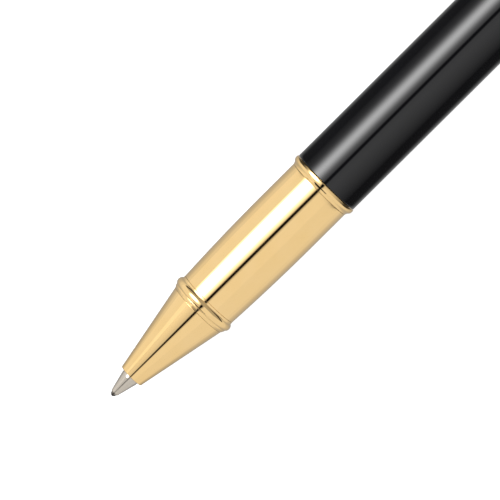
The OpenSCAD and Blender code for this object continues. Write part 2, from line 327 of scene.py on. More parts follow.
def lathe_tree() -> bpy.types.NodeTree:
    """Builds the tree that turns an outline round the pen's axis, and cuts its thread if it has one.

    Returns:
        The tree. Its outline's points hold x and radius, and a "ridge" height.
    """
    tree, given = new_tree(
        "turned_piece",
        {
            "Segments": "NodeSocketInt",
            "Thread pitch": "NodeSocketFloat",
            "Thread start": "NodeSocketFloat",
            "Material": "NodeSocketMaterial",
        },
    )
    ridge_foot = 0.3  # of the pitch, from the middle of the ridge to its foot
    ridge_top = 0.125  # and to the edge of its flat top
    doubles = 1e-7
    outline = put(tree, "GeometryNodeMeshToCurve", {"Mesh": given.outputs["Geometry"]})
    line = put(tree, "GeometryNodeCurvePrimitiveLine", {"Start": (0, 0, 0), "End": (0, 0, 1)})
    rings = put(tree, "ShaderNodeMath", {0: given.outputs["Segments"], 1: 1.0}, operation="ADD")
    path = put(tree, "GeometryNodeResampleCurve", {"Curve": line.outputs[0], "Count": rings.outputs[0]})
    sheet = put(
        tree, "GeometryNodeCurveToMesh", {"Curve": path.outputs[0], "Profile Curve": outline.outputs[0]}
    )
    place = put(tree, "GeometryNodeInputPosition")
    part = put(tree, "ShaderNodeSeparateXYZ", {0: place.outputs[0]})
    ridge = put(tree, "GeometryNodeInputNamedAttribute", {"Name": "ridge"}, data_type="FLOAT")
    along = put(
        tree, "ShaderNodeMath", {0: part.outputs["X"], 1: given.outputs["Thread start"]}, operation="SUBTRACT"
    )
    leads = put(
        tree, "ShaderNodeMath", {0: along.outputs[0], 1: given.outputs["Thread pitch"]}, operation="DIVIDE"
    )
    wound = put(tree, "ShaderNodeMath", {0: leads.outputs[0], 1: part.outputs["Z"]}, operation="SUBTRACT")
    from_crest = put(tree, "ShaderNodeMath", {0: wound.outputs[0], 1: 0.5}, operation="PINGPONG")
    flank = put(
        tree,
        "ShaderNodeMapRange",
        {"Value": from_crest.outputs[0], "From Min": ridge_foot, "From Max": ridge_top},
    )
    radius = put(
        tree,
        "ShaderNodeMath",
        {0: flank.outputs[0], 1: ridge.outputs["Attribute"], 2: part.outputs["Y"]},
        operation="MULTIPLY_ADD",
    )
    turn = put(tree, "ShaderNodeMath", {0: part.outputs["Z"], 1: math.tau}, operation="MULTIPLY")
    cosine = put(tree, "ShaderNodeMath", {0: turn.outputs[0]}, operation="COSINE")
    sine = put(tree, "ShaderNodeMath", {0: turn.outputs[0]}, operation="SINE")
    y = put(tree, "ShaderNodeMath", {0: radius.outputs[0], 1: cosine.outputs[0]}, operation="MULTIPLY")
    z = put(tree, "ShaderNodeMath", {0: radius.outputs[0], 1: sine.outputs[0]}, operation="MULTIPLY")
    round_place = put(
        tree, "ShaderNodeCombineXYZ", {"X": part.outputs["X"], "Y": y.outputs[0], "Z": z.outputs[0]}
    )
    turned = put(
        tree,
        "GeometryNodeSetPosition",
        {"Geometry": sheet.outputs[0], "Position": round_place.outputs[0]},
    )
    joined = put(tree, "GeometryNodeMergeByDistance", {"Geometry": turned.outputs[0], "Distance": doubles})
    close_tree(tree, given, joined.outputs[0])
    return tree


def coil_tree() -> bpy.types.NodeTree:
    """Builds the tree that winds a spring of round wire along the pen's axis.

    Returns:
        The tree.
    """
    tree, given = new_tree(
        "wound_spring",
        {
            "Turns": "NodeSocketFloat",
            "Mean radius": "NodeSocketFloat",
            "Wire radius": "NodeSocketFloat",
            "Length": "NodeSocketFloat",
            "Start": "NodeSocketFloat",
            "Material": "NodeSocketMaterial",
        },
    )
    points_per_turn = 40
    wire_sides = 14
    spiral = put(
        tree,
        "GeometryNodeCurveSpiral",
        {
            "Resolution": points_per_turn,
            "Rotations": given.outputs["Turns"],
            "Start Radius": given.outputs["Mean radius"],
            "End Radius": given.outputs["Mean radius"],
            "Height": 1.0,
        },
    )
    place = put(tree, "GeometryNodeInputPosition")
    part = put(tree, "ShaderNodeSeparateXYZ", {0: place.outputs[0]})
    ease = put(
        tree,
        "ShaderNodeMapRange",
        {"Value": part.outputs["Z"], "From Min": 0.0, "From Max": 1.0, "To Min": 0.0, "To Max": 1.0},
        interpolation_type="SMOOTHSTEP",
    )
    wire_room = put(
        tree, "ShaderNodeMath", {0: given.outputs["Wire radius"], 1: -2.0, 2: given.outputs["Length"]},
        operation="MULTIPLY_ADD",
    )
    first = put(
        tree, "ShaderNodeMath", {0: given.outputs["Start"], 1: given.outputs["Wire radius"]}, operation="ADD"
    )
    along = put(
        tree,
        "ShaderNodeMath",
        {0: ease.outputs["Result"], 1: wire_room.outputs[0], 2: first.outputs[0]},
        operation="MULTIPLY_ADD",
    )
    laid = put(
        tree, "ShaderNodeCombineXYZ", {"X": along.outputs[0], "Y": part.outputs["X"], "Z": part.outputs["Y"]}
    )
    wound = put(
        tree, "GeometryNodeSetPosition", {"Geometry": spiral.outputs[0], "Position": laid.outputs[0]}
    )
    wire = put(
        tree,
        "GeometryNodeCurvePrimitiveCircle",
        {"Resolution": wire_sides, "Radius": given.outputs["Wire radius"]},
    )
    swept = put(
        tree,
        "GeometryNodeCurveToMesh",
        {"Curve": wound.outputs[0], "Profile Curve": wire.outputs[0], "Fill Caps": True},
    )
    close_tree(tree, given, swept.outputs[0])
    return tree


def made_by_nodes(
    base: bpy.types.Object, tree: bpy.types.NodeTree, sizes: dict[str, object]
) -> bpy.types.Object:
    """Runs a Geometry Nodes tree on an object and keeps the result as its plain mesh.

    Args:
        base: The object that the tree starts from.
        tree: The tree.
        sizes: For each of the tree's named inputs, its value.

    Returns:
        The same object, with its finished mesh and no modifier.
    """
    modifier = base.modifiers.new("made", "NODES")
    modifier.node_group = tree
    for socket in tree.interface.items_tree:
        if socket.item_type == "SOCKET" and socket.in_out == "INPUT" and socket.name in sizes:
            modifier[socket.identifier] = sizes[socket.name]
    bpy.context.view_layer.update()
    evaluated = base.evaluated_get(bpy.context.evaluated_depsgraph_get())
    mesh = bpy.data.meshes.new_from_object(evaluated)
    base.modifiers.remove(modifier)
    base.data = mesh
    mesh.name = base.name
    face_outwards(mesh)
    return base


def face_outwards(mesh: bpy.types.Mesh) -> None:
    """Makes every face of a closed mesh point outwards.

    Args:
        mesh: The mesh, whose doubles are already merged.
    """
    work = bmesh.new()
    work.from_mesh(mesh)
    bmesh.ops.recalc_face_normals(work, faces=work.faces)
    work.to_mesh(mesh)
    work.free()


def new_object(name: str, points: Sequence[Sequence[float]], edges: Sequence[Sequence[int]] = (),
               faces: Sequence[Sequence[int]] = ()) -> bpy.types.Object:
    """Makes a mesh object at the origin.

    Args:
        name: The piece's name.
        points: Its points, in metres.
        edges: Its loose edges.
        faces: Its faces.

    Returns:
        The object, in the scene.
    """
    mesh = bpy.data.meshes.new(name)
    mesh.from_pydata(points, edges, faces)
    made = bpy.data.objects.new(name, mesh)
    bpy.context.scene.collection.objects.link(made)
    return made


# ---- Finishes ----


NOISE_ROUGHNESS = 0.55
NOISE_RANGE: Point = (0.3, 0.7)  # where nearly all of a noise's values lie


class Surface:
    """A material being built: its tree, its Principled shader and the place on the piece."""

    def __init__(self, name: str) -> None:
        """Starts an empty procedural material.

        Args:
            name: The material's name.
        """
        self.material = bpy.data.materials.new(name)
        self.material.use_nodes = True
        self.tree = self.material.node_tree
        self.tree.nodes.clear()
        self.shader = put(self.tree, "ShaderNodeBsdfPrincipled")
        put(self.tree, "ShaderNodeOutputMaterial", {"Surface": self.shader.outputs[0]})
        self.place = put(self.tree, "ShaderNodeTexCoord").outputs["Object"]

    def set(self, **values: Setting) -> None:
        """Sets the shader's own sockets, whose spaces are written as underscores.

        Args:
            **values: For each socket, a value or the output that feeds it.
        """
        for key, value in values.items():
            socket = self.shader.inputs[key.replace("_", " ")]
            if isinstance(value, bpy.types.NodeSocket):
                self.tree.links.new(value, socket)
            else:
                socket.default_value = value

    def noise(self, spacing: Sequence[float], detail: float = 2.0) -> bpy.types.NodeSocket:
        """Adds noise whose size is given along each axis.

        Args:
            spacing: The noise's size along x, y and z, in mm.
            detail: How much finer noise is laid over it.

        Returns:
            Its value, about 0 to 1.
        """
        scale = tuple(1 / (size * MM) for size in spacing)
        at = put(self.tree, "ShaderNodeMapping", {"Vector": self.place, "Scale": scale})
        grain = put(
            self.tree,
            "ShaderNodeTexNoise",
            {"Vector": at.outputs[0], "Scale": 1.0, "Detail": detail, "Roughness": NOISE_ROUGHNESS},
        )
        return grain.outputs[0]

    def spread(self, value: bpy.types.NodeSocket, low: float, high: float) -> bpy.types.NodeSocket:
        """Stretches noise to a range.

        Args:
            value: The noise.
            low: What its low stretches become.
            high: What its high stretches become.

        Returns:
            The stretched value.
        """
        first, last = NOISE_RANGE
        node = put(
            self.tree,
            "ShaderNodeMapRange",
            {"Value": value, "From Min": first, "From Max": last, "To Min": low, "To Max": high},
        )
        return node.outputs[0]

    def beyond(self, start: float, end: float) -> bpy.types.NodeSocket:
        """Rises from 0 to 1 along the pen.

        Args:
            start: Where it starts to rise, in mm from the writing point.
            end: Where it reaches 1.

        Returns:
            The value.
        """
        x = put(self.tree, "ShaderNodeSeparateXYZ", {0: self.place}).outputs["X"]
        node = put(
            self.tree,
            "ShaderNodeMapRange",
            {"Value": x, "From Min": start * MM, "From Max": end * MM},
        )
        return node.outputs[0]

    def blend(
        self, value: bpy.types.NodeSocket, first: str, second: Union[str, bpy.types.NodeSocket]
    ) -> bpy.types.NodeSocket:
        """Mixes two colours.

        Args:
            value: How much of the second colour there is.
            first: The first colour, as sRGB hex.
            second: The second colour, as sRGB hex or a mixed colour.

        Returns:
            The mixed colour.
        """
        last = to_linear(second) if isinstance(second, str) else second
        node = put(
            self.tree, "ShaderNodeMix", {"Factor": value, 6: to_linear(first), 7: last}, data_type="RGBA"
        )
        return node.outputs[2]

    def relief(
        self, height: bpy.types.NodeSocket, depth: float, over: Optional[bpy.types.NodeSocket] = None
    ) -> bpy.types.NodeSocket:
        """Raises a pattern on the surface.

        Args:
            height: The pattern.
            depth: How deep it is, in mm.
            over: Another relief that this one lies on.

        Returns:
            The normal.
        """
        inputs: dict[Union[str, int], Setting] = {"Height": height, "Distance": depth * MM}
        if over is not None:
            inputs["Normal"] = over
        return put(self.tree, "ShaderNodeBump", inputs).outputs[0]


@dataclass(frozen=True)
class GoldPlate:
    """Gold plate on turned brass, buffed to a mirror.

    The buff leaves rings too fine to count, which soften reflections along the pen, and
    handling leaves it a little duller in patches.
    """

    name: str = "gold_plate_buffed"
    colour: str = "#FFDCA1"
    deep_colour: str = "#FBD592"
    ring_spacing: float = 0.12
    ring_run: float = 12.0
    ring_depth: float = 0.0002
    patch_size: float = 3.5
    roughness: Point = (0.04, 0.075)

    def build(self) -> bpy.types.Material:
        """Builds the material."""
        surface = Surface(self.name)
        rings = surface.noise((self.ring_spacing, self.ring_run, self.ring_run), 3.0)
        patches = surface.noise((self.patch_size,) * 3)
        surface.set(
            Base_Color=surface.blend(patches, self.colour, self.deep_colour),
            Metallic=1.0,
            Roughness=surface.spread(patches, *self.roughness),
            Normal=surface.relief(rings, self.ring_depth),
        )
        return surface.material


@dataclass(frozen=True)
class BareBrass:
    """Brass left as it came off the lathe, under clear lacquer: even rings from the tool."""

    name: str = "brass_as_turned"
    colour: str = "#E3C373"
    deep_colour: str = "#CFA954"
    ring_spacing: float = 0.15
    ring_run: float = 20.0
    ring_depth: float = 0.002
    roughness: Point = (0.22, 0.34)

    def build(self) -> bpy.types.Material:
        """Builds the material."""
        surface = Surface(self.name)
        rings = surface.noise((self.ring_spacing, self.ring_run, self.ring_run), 1.0)
        surface.set(
            Base_Color=surface.blend(rings, self.colour, self.deep_colour),
            Metallic=1.0,
            Roughness=surface.spread(rings, *self.roughness),
            Normal=surface.relief(rings, self.ring_depth),
            Coat_Weight=0.4,
            Coat_Roughness=0.1,
        )
        return surface.material


@dataclass(frozen=True)
class BlackLacquer:
    """Black lacquer, sprayed on a metal tube and polished.

    It is near black all through, so what the eye sees is its gloss, with the faintest
    waviness left by the spray.
    """

    name: str = "black_lacquer_polished"
    colour: str = "#0C0C0D"
    tint: str = "#0F0F12"
    wave_size: float = 1.4
    wave_stretch: float = 4.0
    wave_depth: float = 0.0006
    patch_size: float = 5.0
    roughness: Point = (0.03, 0.06)

    def build(self) -> bpy.types.Material:
        """Builds the material."""
        surface = Surface(self.name)
        patches = surface.noise((self.patch_size,) * 3, 3.0)
        wave_length = self.wave_size * self.wave_stretch
        waves = surface.noise((wave_length, self.wave_size, self.wave_size), 1.0)
        surface.set(
            Base_Color=surface.blend(patches, self.colour, self.tint),
            Roughness=surface.spread(patches, *self.roughness),
            IOR=1.56,
            Normal=surface.relief(waves, self.wave_depth),
        )
        return surface.material


@dataclass(frozen=True)
class TurnedSteel:
    """Stainless steel, turned to a fine satin: rings about 0.02 mm apart, drawn at 0.07 mm to show."""

    name: str = "stainless_steel_turned"
    colour: str = "#D6CDC0"
    deep_colour: str = "#C7BEB1"
    ring_spacing: float = 0.07
    ring_run: float = 9.0
    ring_depth: float = 0.0006
    roughness: Point = (0.13, 0.2)
    ink: str = "#4A463F"
    ink_reach: Point = (0.3, 0.6)

    def build(self) -> bpy.types.Material:
        """Builds the material: bare steel, stained with ink round the crimped rim."""
        surface = Surface(self.name)
        rings = surface.noise((self.ring_spacing, self.ring_run, self.ring_run), 2.0)
        steel = surface.blend(rings, self.colour, self.deep_colour)
        surface.set(
            Base_Color=surface.blend(surface.beyond(*self.ink_reach), self.ink, steel),
            Metallic=1.0,
            Roughness=surface.spread(rings, *self.roughness),
            Normal=surface.relief(rings, self.ring_depth),
        )
        return surface.material


@dataclass(frozen=True)
class InkedCarbide:
    """A polished tungsten-carbide ball, wet with black ink, which pools in darker patches."""

    name: str = "carbide_wet_with_ink"
    colour: str = "#29292C"
    ink: str = "#08080C"
    pool_size: float = 0.25
    pool_share: Point = (0.2, 1.0)
    roughness: Point = (0.12, 0.22)

    def build(self) -> bpy.types.Material:
        """Builds the material."""
        surface = Surface(self.name)
        pools = surface.noise((self.pool_size,) * 3, 2.0)
        surface.set(
            Base_Color=surface.blend(surface.spread(pools, *self.pool_share), self.colour, self.ink),
            Metallic=0.6,
            Roughness=surface.spread(pools, *self.roughness),
            Coat_Weight=0.3,
            Coat_Roughness=0.08,
        )
        return surface.material


@dataclass(frozen=True)
class DrawnWire:
    """Stainless spring wire: faint die lines and a dull shine."""

    name: str = "spring_wire_drawn"
    colour: str = "#C4C2BC"
    deep_colour: str = "#9F9C95"
    line_spacing: float = 0.06
    line_depth: float = 0.0008
    roughness: Point = (0.25, 0.4)

    def build(self) -> bpy.types.Material:
        """Builds the material."""
        surface = Surface(self.name)
        lines = surface.noise((self.line_spacing,) * 3, 2.0)
        surface.set(
            Base_Color=surface.blend(lines, self.colour, self.deep_colour),
            Metallic=1.0,
            Roughness=surface.spread(lines, *self.roughness),
            Normal=surface.relief(lines, self.line_depth),
        )
        return surface.material


@dataclass(frozen=True)
class Moulding:
    """Injection-moulded polypropylene: a soft gloss over the faint mottle of the mould's skin."""

    name: str
    colour: str
    tint: str
    roughness: Point
    subsurface: float = 0.0
    mottle_size: float = 1.2
    skin_size: float = 0.12
    skin_depth: float = 0.0015

    def build(self) -> bpy.types.Material:
        """Builds the material."""
        surface = Surface(self.name)
        mottle = surface.noise((self.mottle_size,) * 3, 2.0)
        skin = surface.noise((self.skin_size,) * 3, 1.0)
        surface.set(
            Base_Color=surface.blend(mottle, self.colour, self.tint),
            Roughness=surface.spread(mottle, *self.roughness),
            IOR=1.49,
            Subsurface_Weight=self.subsurface,
            Subsurface_Scale=0.4 * MM,
            Normal=surface.relief(skin, self.skin_depth),
        )
        return surface.material


@dataclass(frozen=True)
class InkedFibre:
    """Bonded fibre soaked with ink: threads along the pen, matt and blue-black."""

    name: str = "bonded_fibre_inked"
    colour: str = "#14141F"
    dry_colour: str = "#34344A"
    thread: float = 0.08
    thread_length: float = 6.0
    thread_depth: float = 0.02
    roughness: Point = (0.6, 0.85)

    def build(self) -> bpy.types.Material:
        """Builds the material."""
        surface = Surface(self.name)
        threads = surface.noise((self.thread_length, self.thread, self.thread), 2.0)
        surface.set(
            Base_Color=surface.blend(threads, self.colour, self.dry_colour),
            Roughness=surface.spread(threads, *self.roughness),
            Normal=surface.relief(threads, self.thread_depth),
        )
        return surface.material


class Finish(Enum):
    """Every finish on the pen, each under a short name."""

    GOLD = "gold_plate"
    BRASS = "bare_brass"
    LACQUER = "black_lacquer"
    STEEL = "stainless_steel"
    CARBIDE = "carbide"
    WIRE = "spring_steel"
    BLACK = "black_moulding"
    WHITE = "white_moulding"
    FIBRE = "inked_fibre"


class Paintbox:
    """Builds each finish once and hands it out."""

    def __init__(self) -> None:
        """Names the recipe of each finish."""
        self.recipes = {
            Finish.GOLD: GoldPlate(),
            Finish.BRASS: BareBrass(),
            Finish.LACQUER: BlackLacquer(),
            Finish.STEEL: TurnedSteel(),
            Finish.CARBIDE: InkedCarbide(),
            Finish.WIRE: DrawnWire(),
            Finish.BLACK: Moulding("polypropylene_black", "#16161A", "#1D1D21", (0.28, 0.4)),
            Finish.WHITE: Moulding("polypropylene_white", "#E6E5DF", "#DAD9D1", (0.35, 0.48), 0.15),
            Finish.FIBRE: InkedFibre(),
        }
        self.made: dict[Finish, bpy.types.Material] = {}

    def get(self, finish: Finish) -> bpy.types.Material:
        """Gives a finish's material, building it the first time.

        Args:
            finish: The finish.

        Returns:
            Its material.
        """
        if finish not in self.made:
            self.made[finish] = self.recipes[finish].build()
        return self.made[finish]


# ---- The workshop ----


class Workshop:
    """Makes pieces, dresses them and joins them to the CAD bodies."""

    def __init__(self, segments: int = 160) -> None:
        """Sets up the trees and finishes.

        Args:
            segments: How many faces go round a turned piece.
        """
        self.segments = segments
        self.paints = Paintbox()
        self.lathe = lathe_tree()
        self.coiler = coil_tree()

    def turn(
        self,
        node: str,
        body: str,
        finish: Finish,
        corners: Sequence[Corner],
        closed: bool = True,
        thread: Point = (1.0, 0.0),
    ) -> bpy.types.Object:
        """Turns a piece on the lathe in place of a CAD node.

        Args:
            node: The CAD node that it stands for.
            body: The body that it moves with.
            finish: Its finish.
            corners: Its outline.
            closed: True for a ring, False for a piece that closes on the axis.
            thread: The thread's pitch and where a crest crosses the plane of the outline, in mm.

        Returns:
            The piece.
        """
        outline = finished_outline(corners, closed)
        count = len(outline)
        edges = [(i, i + 1) for i in range(count - 1)]
        if closed:
            edges.append((count - 1, 0))
        piece = new_object(f"{node}_turned", [(c.x * MM, c.r * MM, 0) for c in outline], edges)
        ridge = piece.data.attributes.new("ridge", "FLOAT", "POINT")
        ridge.data.foreach_set("value", [c.ridge * MM for c in outline])
        sizes = {
            "Segments": self.segments,
            "Thread pitch": thread[0] * MM,
            "Thread start": thread[1] * MM,
            "Material": self.paints.get(finish),
        }
        return self.fit(made_by_nodes(piece, self.lathe, sizes), node, body, finish)

    def fit(
        self, piece: bpy.types.Object, node: str, body: str, finish: Finish
    ) -> bpy.types.Object:
        """Joins a finished piece to its body in place of a CAD node.

        Args:
            piece: The piece.
            node: The CAD node that it stands for.
            body: The body that it moves with.
            finish: Its finish; not used.

        Returns:
            The piece.
        """
        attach(piece, body)
        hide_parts(node)
        log.info("%s: %d faces, rides on %s", piece.name, len(piece.data.polygons), body)
        return piece

    def dress(self, node: str, finish: Finish) -> None:
        """Gives a CAD node that keeps its own shape a better material.

        Args:
            node: The node.
            finish: Its finish.
        """
        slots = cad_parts[node].material_slots
        for slot in slots:
            slot.material = self.paints.get(finish)
        log.info("%s: CAD shape kept, %s", node, finish.value)


# ---- The pen's sub-assemblies ----


@dataclass
class GripSection:
    """The gold front of the pen and the threaded bush inside it."""

    shop: Workshop
    mouth_d: float = 3.69
    mouth_bore_r: float = 1.365
    lip: float = 0.17
    cone_end_r: float = 4.335
    bead_d: float = 9.76
    bead_r: float = 0.7
    sleeve_front_r: float = 4.51
    sleeve_rear_r: float = 4.9
    sleeve_parallel: float = 6.0
    trim_d: float = 10.68
    tenon_r: float = 3.98
    bore_r: float = 3.25
    edge: float = 0.035
    thread_r: float = 3.95
    thread_depth: float = 0.4
    thread_length: float = 4.8
    thread_from_end: float = 1.1
    mouth_bore_end: float = 5.8
    step_bore_start: float = 6.15
    step_bore_r: float = 1.9
    holder_bore_start: float = 9.2
    holder_bore_r: float = 2.55
    tube_bore_start: float = 14.0
    flange_r: float = 4.5
    flange_w: float = 0.35
    body: str = "section"

    def build(self) -> None:
        """Makes every piece of the section."""
        self.nose_cone()
        self.catch_ring()
        self.grip_sleeve()
        self.trim_ring()
        self.bush()

    def nose_cone(self) -> None:
        """Turns the nose cone, with its rounded lip, stepped bore and tenon."""
        start = low_x("nose_cone")
        shoulder = low_x("catch_ring") - 0.02
        end = high_x("nose_cone")
        tube_bore_r = self.bore_r - 0.05
        self.shop.turn("nose_cone", self.body, Finish.GOLD, [
            Corner(start, self.mouth_bore_r, 0.05),
            Corner(start, self.mouth_d / 2 - 0.02, self.lip),
            Corner(shoulder, self.cone_end_r, self.edge),
            Corner(shoulder, self.tenon_r, 0.05),
            Corner(end, self.tenon_r, 0.05),
            Corner(end, tube_bore_r, 0.05),
            Corner(self.tube_bore_start, tube_bore_r),
            Corner(self.tube_bore_start - 0.8, self.holder_bore_r),
            Corner(self.holder_bore_start, self.holder_bore_r),
            Corner(self.holder_bore_start, self.step_bore_r),
            Corner(self.step_bore_start, self.step_bore_r),
            Corner(self.mouth_bore_end, self.mouth_bore_r),
        ])

    def catch_ring(self) -> None:
        """Turns the ring that the cap snaps on to: a fine step, a groove and the rounded bead."""
        start = low_x("catch_ring")
        end = high_x("catch_ring")
        front = self.cone_end_r
        bead_x = start + 1.14
        self.shop.turn("catch_ring", self.body, Finish.GOLD, [
            Corner(start, self.tenon_r + 0.02),
            Corner(start, front, self.edge),
            Corner(start + 0.33, front + 0.21, 0.14),
            Corner(start + 0.5, front + 0.27, 0.06),
            *arc((bead_x, self.bead_d / 2 - self.bead_r), self.bead_r, -56, 58, 22),
            Corner(end - 0.24, self.sleeve_front_r + 0.03, 0.15),
            Corner(end, self.sleeve_front_r, self.edge),
            Corner(end, self.tenon_r + 0.02),
        ])

    def grip_sleeve(self) -> None:
        """Turns the sleeve that the fingers hold, which swells to its rear."""
        start = low_x("grip_sleeve")
        end = high_x("grip_sleeve")
        level = end + 0.02 - self.sleeve_parallel
        rise = self.sleeve_rear_r - self.sleeve_front_r
        length = level - start

        def radius_at(x: float) -> float:
            """Gives the sleeve's radius in its curved part."""
            return self.sleeve_rear_r - rise * ((level - x) / length) ** 2

        self.shop.turn("grip_sleeve", self.body, Finish.GOLD, [
            Corner(start, self.tenon_r + 0.02),
            Corner(start, self.sleeve_front_r, self.edge),
            *curve(start + 0.2, level, radius_at, 36),
            Corner(end, self.sleeve_rear_r, self.edge),
            Corner(end, self.tenon_r + 0.02),
        ])

    def trim_ring(self) -> None:
        """Turns the thin proud ring in front of the barrel."""
        start = low_x("trim_ring")
        end = high_x("trim_ring")
        crest = self.trim_d / 2
        front = self.sleeve_rear_r + 0.01
        round_r = 0.6
        self.shop.turn("trim_ring", self.body, Finish.GOLD, [
            Corner(start, self.tenon_r + 0.02),
            Corner(start, front, self.edge),
            Corner(start + 0.17, front + 0.04, 0.1),
            Corner(start + 0.3, front + 0.11, 0.08),
            Corner(start + 0.41, front + 0.19, 0.06),
            *arc((start + 0.9, crest - round_r), round_r, -38, 0, 14),
            Corner(end - 0.1, crest - 0.01, 0.05),
            Corner(end - 0.03, crest - 0.04, 0.02),
            Corner(end, crest - 0.09, 0.02),
            Corner(end, self.flange_r + 0.04),
            Corner(end - self.flange_w - 0.02, self.flange_r + 0.04),
            Corner(end - self.flange_w - 0.02, self.tenon_r + 0.02),
        ])

    def bush(self) -> None:
        """Turns the brass bush and cuts its male thread."""
        start = low_x("section_bush")
        end = high_x("section_bush")
        flange = high_x("trim_ring")
        root = self.thread_r - self.thread_depth
        cut = end - self.thread_from_end - self.thread_length
        self.shop.turn("section_bush", self.body, Finish.BRASS, [
            Corner(start, self.bore_r, self.edge),
            Corner(start, self.tenon_r, self.edge),
            Corner(flange - self.flange_w, self.tenon_r),
            Corner(flange - self.flange_w, self.flange_r),
            Corner(flange, self.flange_r, self.edge),
            Corner(flange, self.tenon_r),
            Corner(cut - 0.45, self.tenon_r, self.edge),
            *threaded(cut - 0.3, end - 0.2, root, self.thread_depth, (cut, cut + self.thread_length)),
            Corner(end, root - 0.15, self.edge),
            Corner(end, self.bore_r, self.edge),
        ], thread=(1.0, cut))


def threaded(start: float, end: float, radius: float, height: float, full: Point) -> list[Corner]:
    """Samples a threaded stretch of an outline.

    Args:
        start: Where it starts along the pen, in mm.
        end: Where it ends.
        radius: Radius of the thread's root, in mm.
        height: Height of its ridge, outwards if positive.
        full: Between which places the ridge is wound; it fades in and out there.

    Returns:
        The stretch's points, with their ridge heights.
    """
    steps_per_mm = 24
    fade = 0.4
    steps = round(abs(end - start) * steps_per_mm)
    corners = []
    for i in range(steps + 1):
        x = start + (end - start) * i / steps
        share = min(1.0, max(0.0, min(x - full[0], full[1] - x) / fade + 0.5))
        corners.append(Corner(x, radius, flows=True, ridge=height * share))
    return corners


@dataclass
class Refill:
    """The refill: its steel point and ball, and the moulded and fibre pieces behind them."""

    shop: Workshop
    ball_r: float = 0.3
    socket_gap: float = 0.015
    rim_x: float = 0.18
    cone_x: float = 0.62
    cone_r: float = 0.585
    point_r: float = 1.285
    rim_r: float = 0.32
    collar_r: float = 0.4
    shank_r: float = 1.0
    shank_length: float = 5.0
    ink_bore_r: float = 0.42
    ink_bore_start: float = 1.5
    ink_hole_r: float = 0.2
    body: str = "refill"

    def build(self) -> None:
        """Makes the point and the ball, and dresses the rest."""
        self.point()
        self.ball()
        for node in ("tip_holder", "refill_plug"):
            self.shop.dress(node, Finish.BLACK)
        for node in ("feed_wick", "ink_reservoir"):
            self.shop.dress(node, Finish.FIBRE)
        self.shop.dress("refill_tube", Finish.WHITE)

    def point(self) -> None:
        """Turns the steel point: crimped rim, short collar, long cone, shank, socket and ink bore."""
        end = high_x("tip_cone")
        wide = end - self.shank_length
        cone_end = low_x("nose_cone") - 0.4
        socket = self.ball_r + self.socket_gap
        rim_angle = math.degrees(math.acos((self.ball_r - self.rim_x) / socket))
        back_angle = math.degrees(math.asin(self.ink_hole_r / socket))
        # Round the ball's centre, from the small ink hole forwards to the rim
        steps = 12
        sweep = 180 - back_angle - rim_angle
        angles = [math.radians(180 - back_angle - i * sweep / steps) for i in range(steps + 1)]
        cup = [
            Corner(self.ball_r - socket * math.cos(a), socket * math.sin(a), flows=True) for a in angles
        ]
        self.shop.turn("tip_cone", self.body, Finish.STEEL, [
            Corner(self.rim_x, self.rim_r, 0.01),
            Corner(self.rim_x + 0.03, self.rim_r + 0.045, 0.02),
            Corner(self.rim_x + 0.22, self.collar_r, 0.1),
            Corner(self.cone_x, self.cone_r, 0.12),
            Corner(cone_end, self.point_r, 0.15),
            Corner(wide, self.point_r, 0.03),
            Corner(wide, self.shank_r),
            Corner(end, self.shank_r, 0.05),
            Corner(end, self.ink_bore_r, 0.05),
            Corner(self.ink_bore_start, self.ink_bore_r),
            Corner(self.ink_bore_start, self.ink_hole_r),
            *cup,
        ])

    def ball(self) -> None:
        """Turns the writing ball."""
        steps = 24
        turns = [math.pi * i / steps for i in range(1, steps)]
        corners = [
            Corner(self.ball_r * (1 - math.cos(a)), self.ball_r * math.sin(a), flows=True) for a in turns
        ]
        ends = (Corner(0.0, 0.0, flows=True), Corner(2 * self.ball_r, 0.0, flows=True))
        self.shop.turn(
            "writing_ball", "ball", Finish.CARBIDE, [ends[0], *corners, ends[1]], closed=False
        )


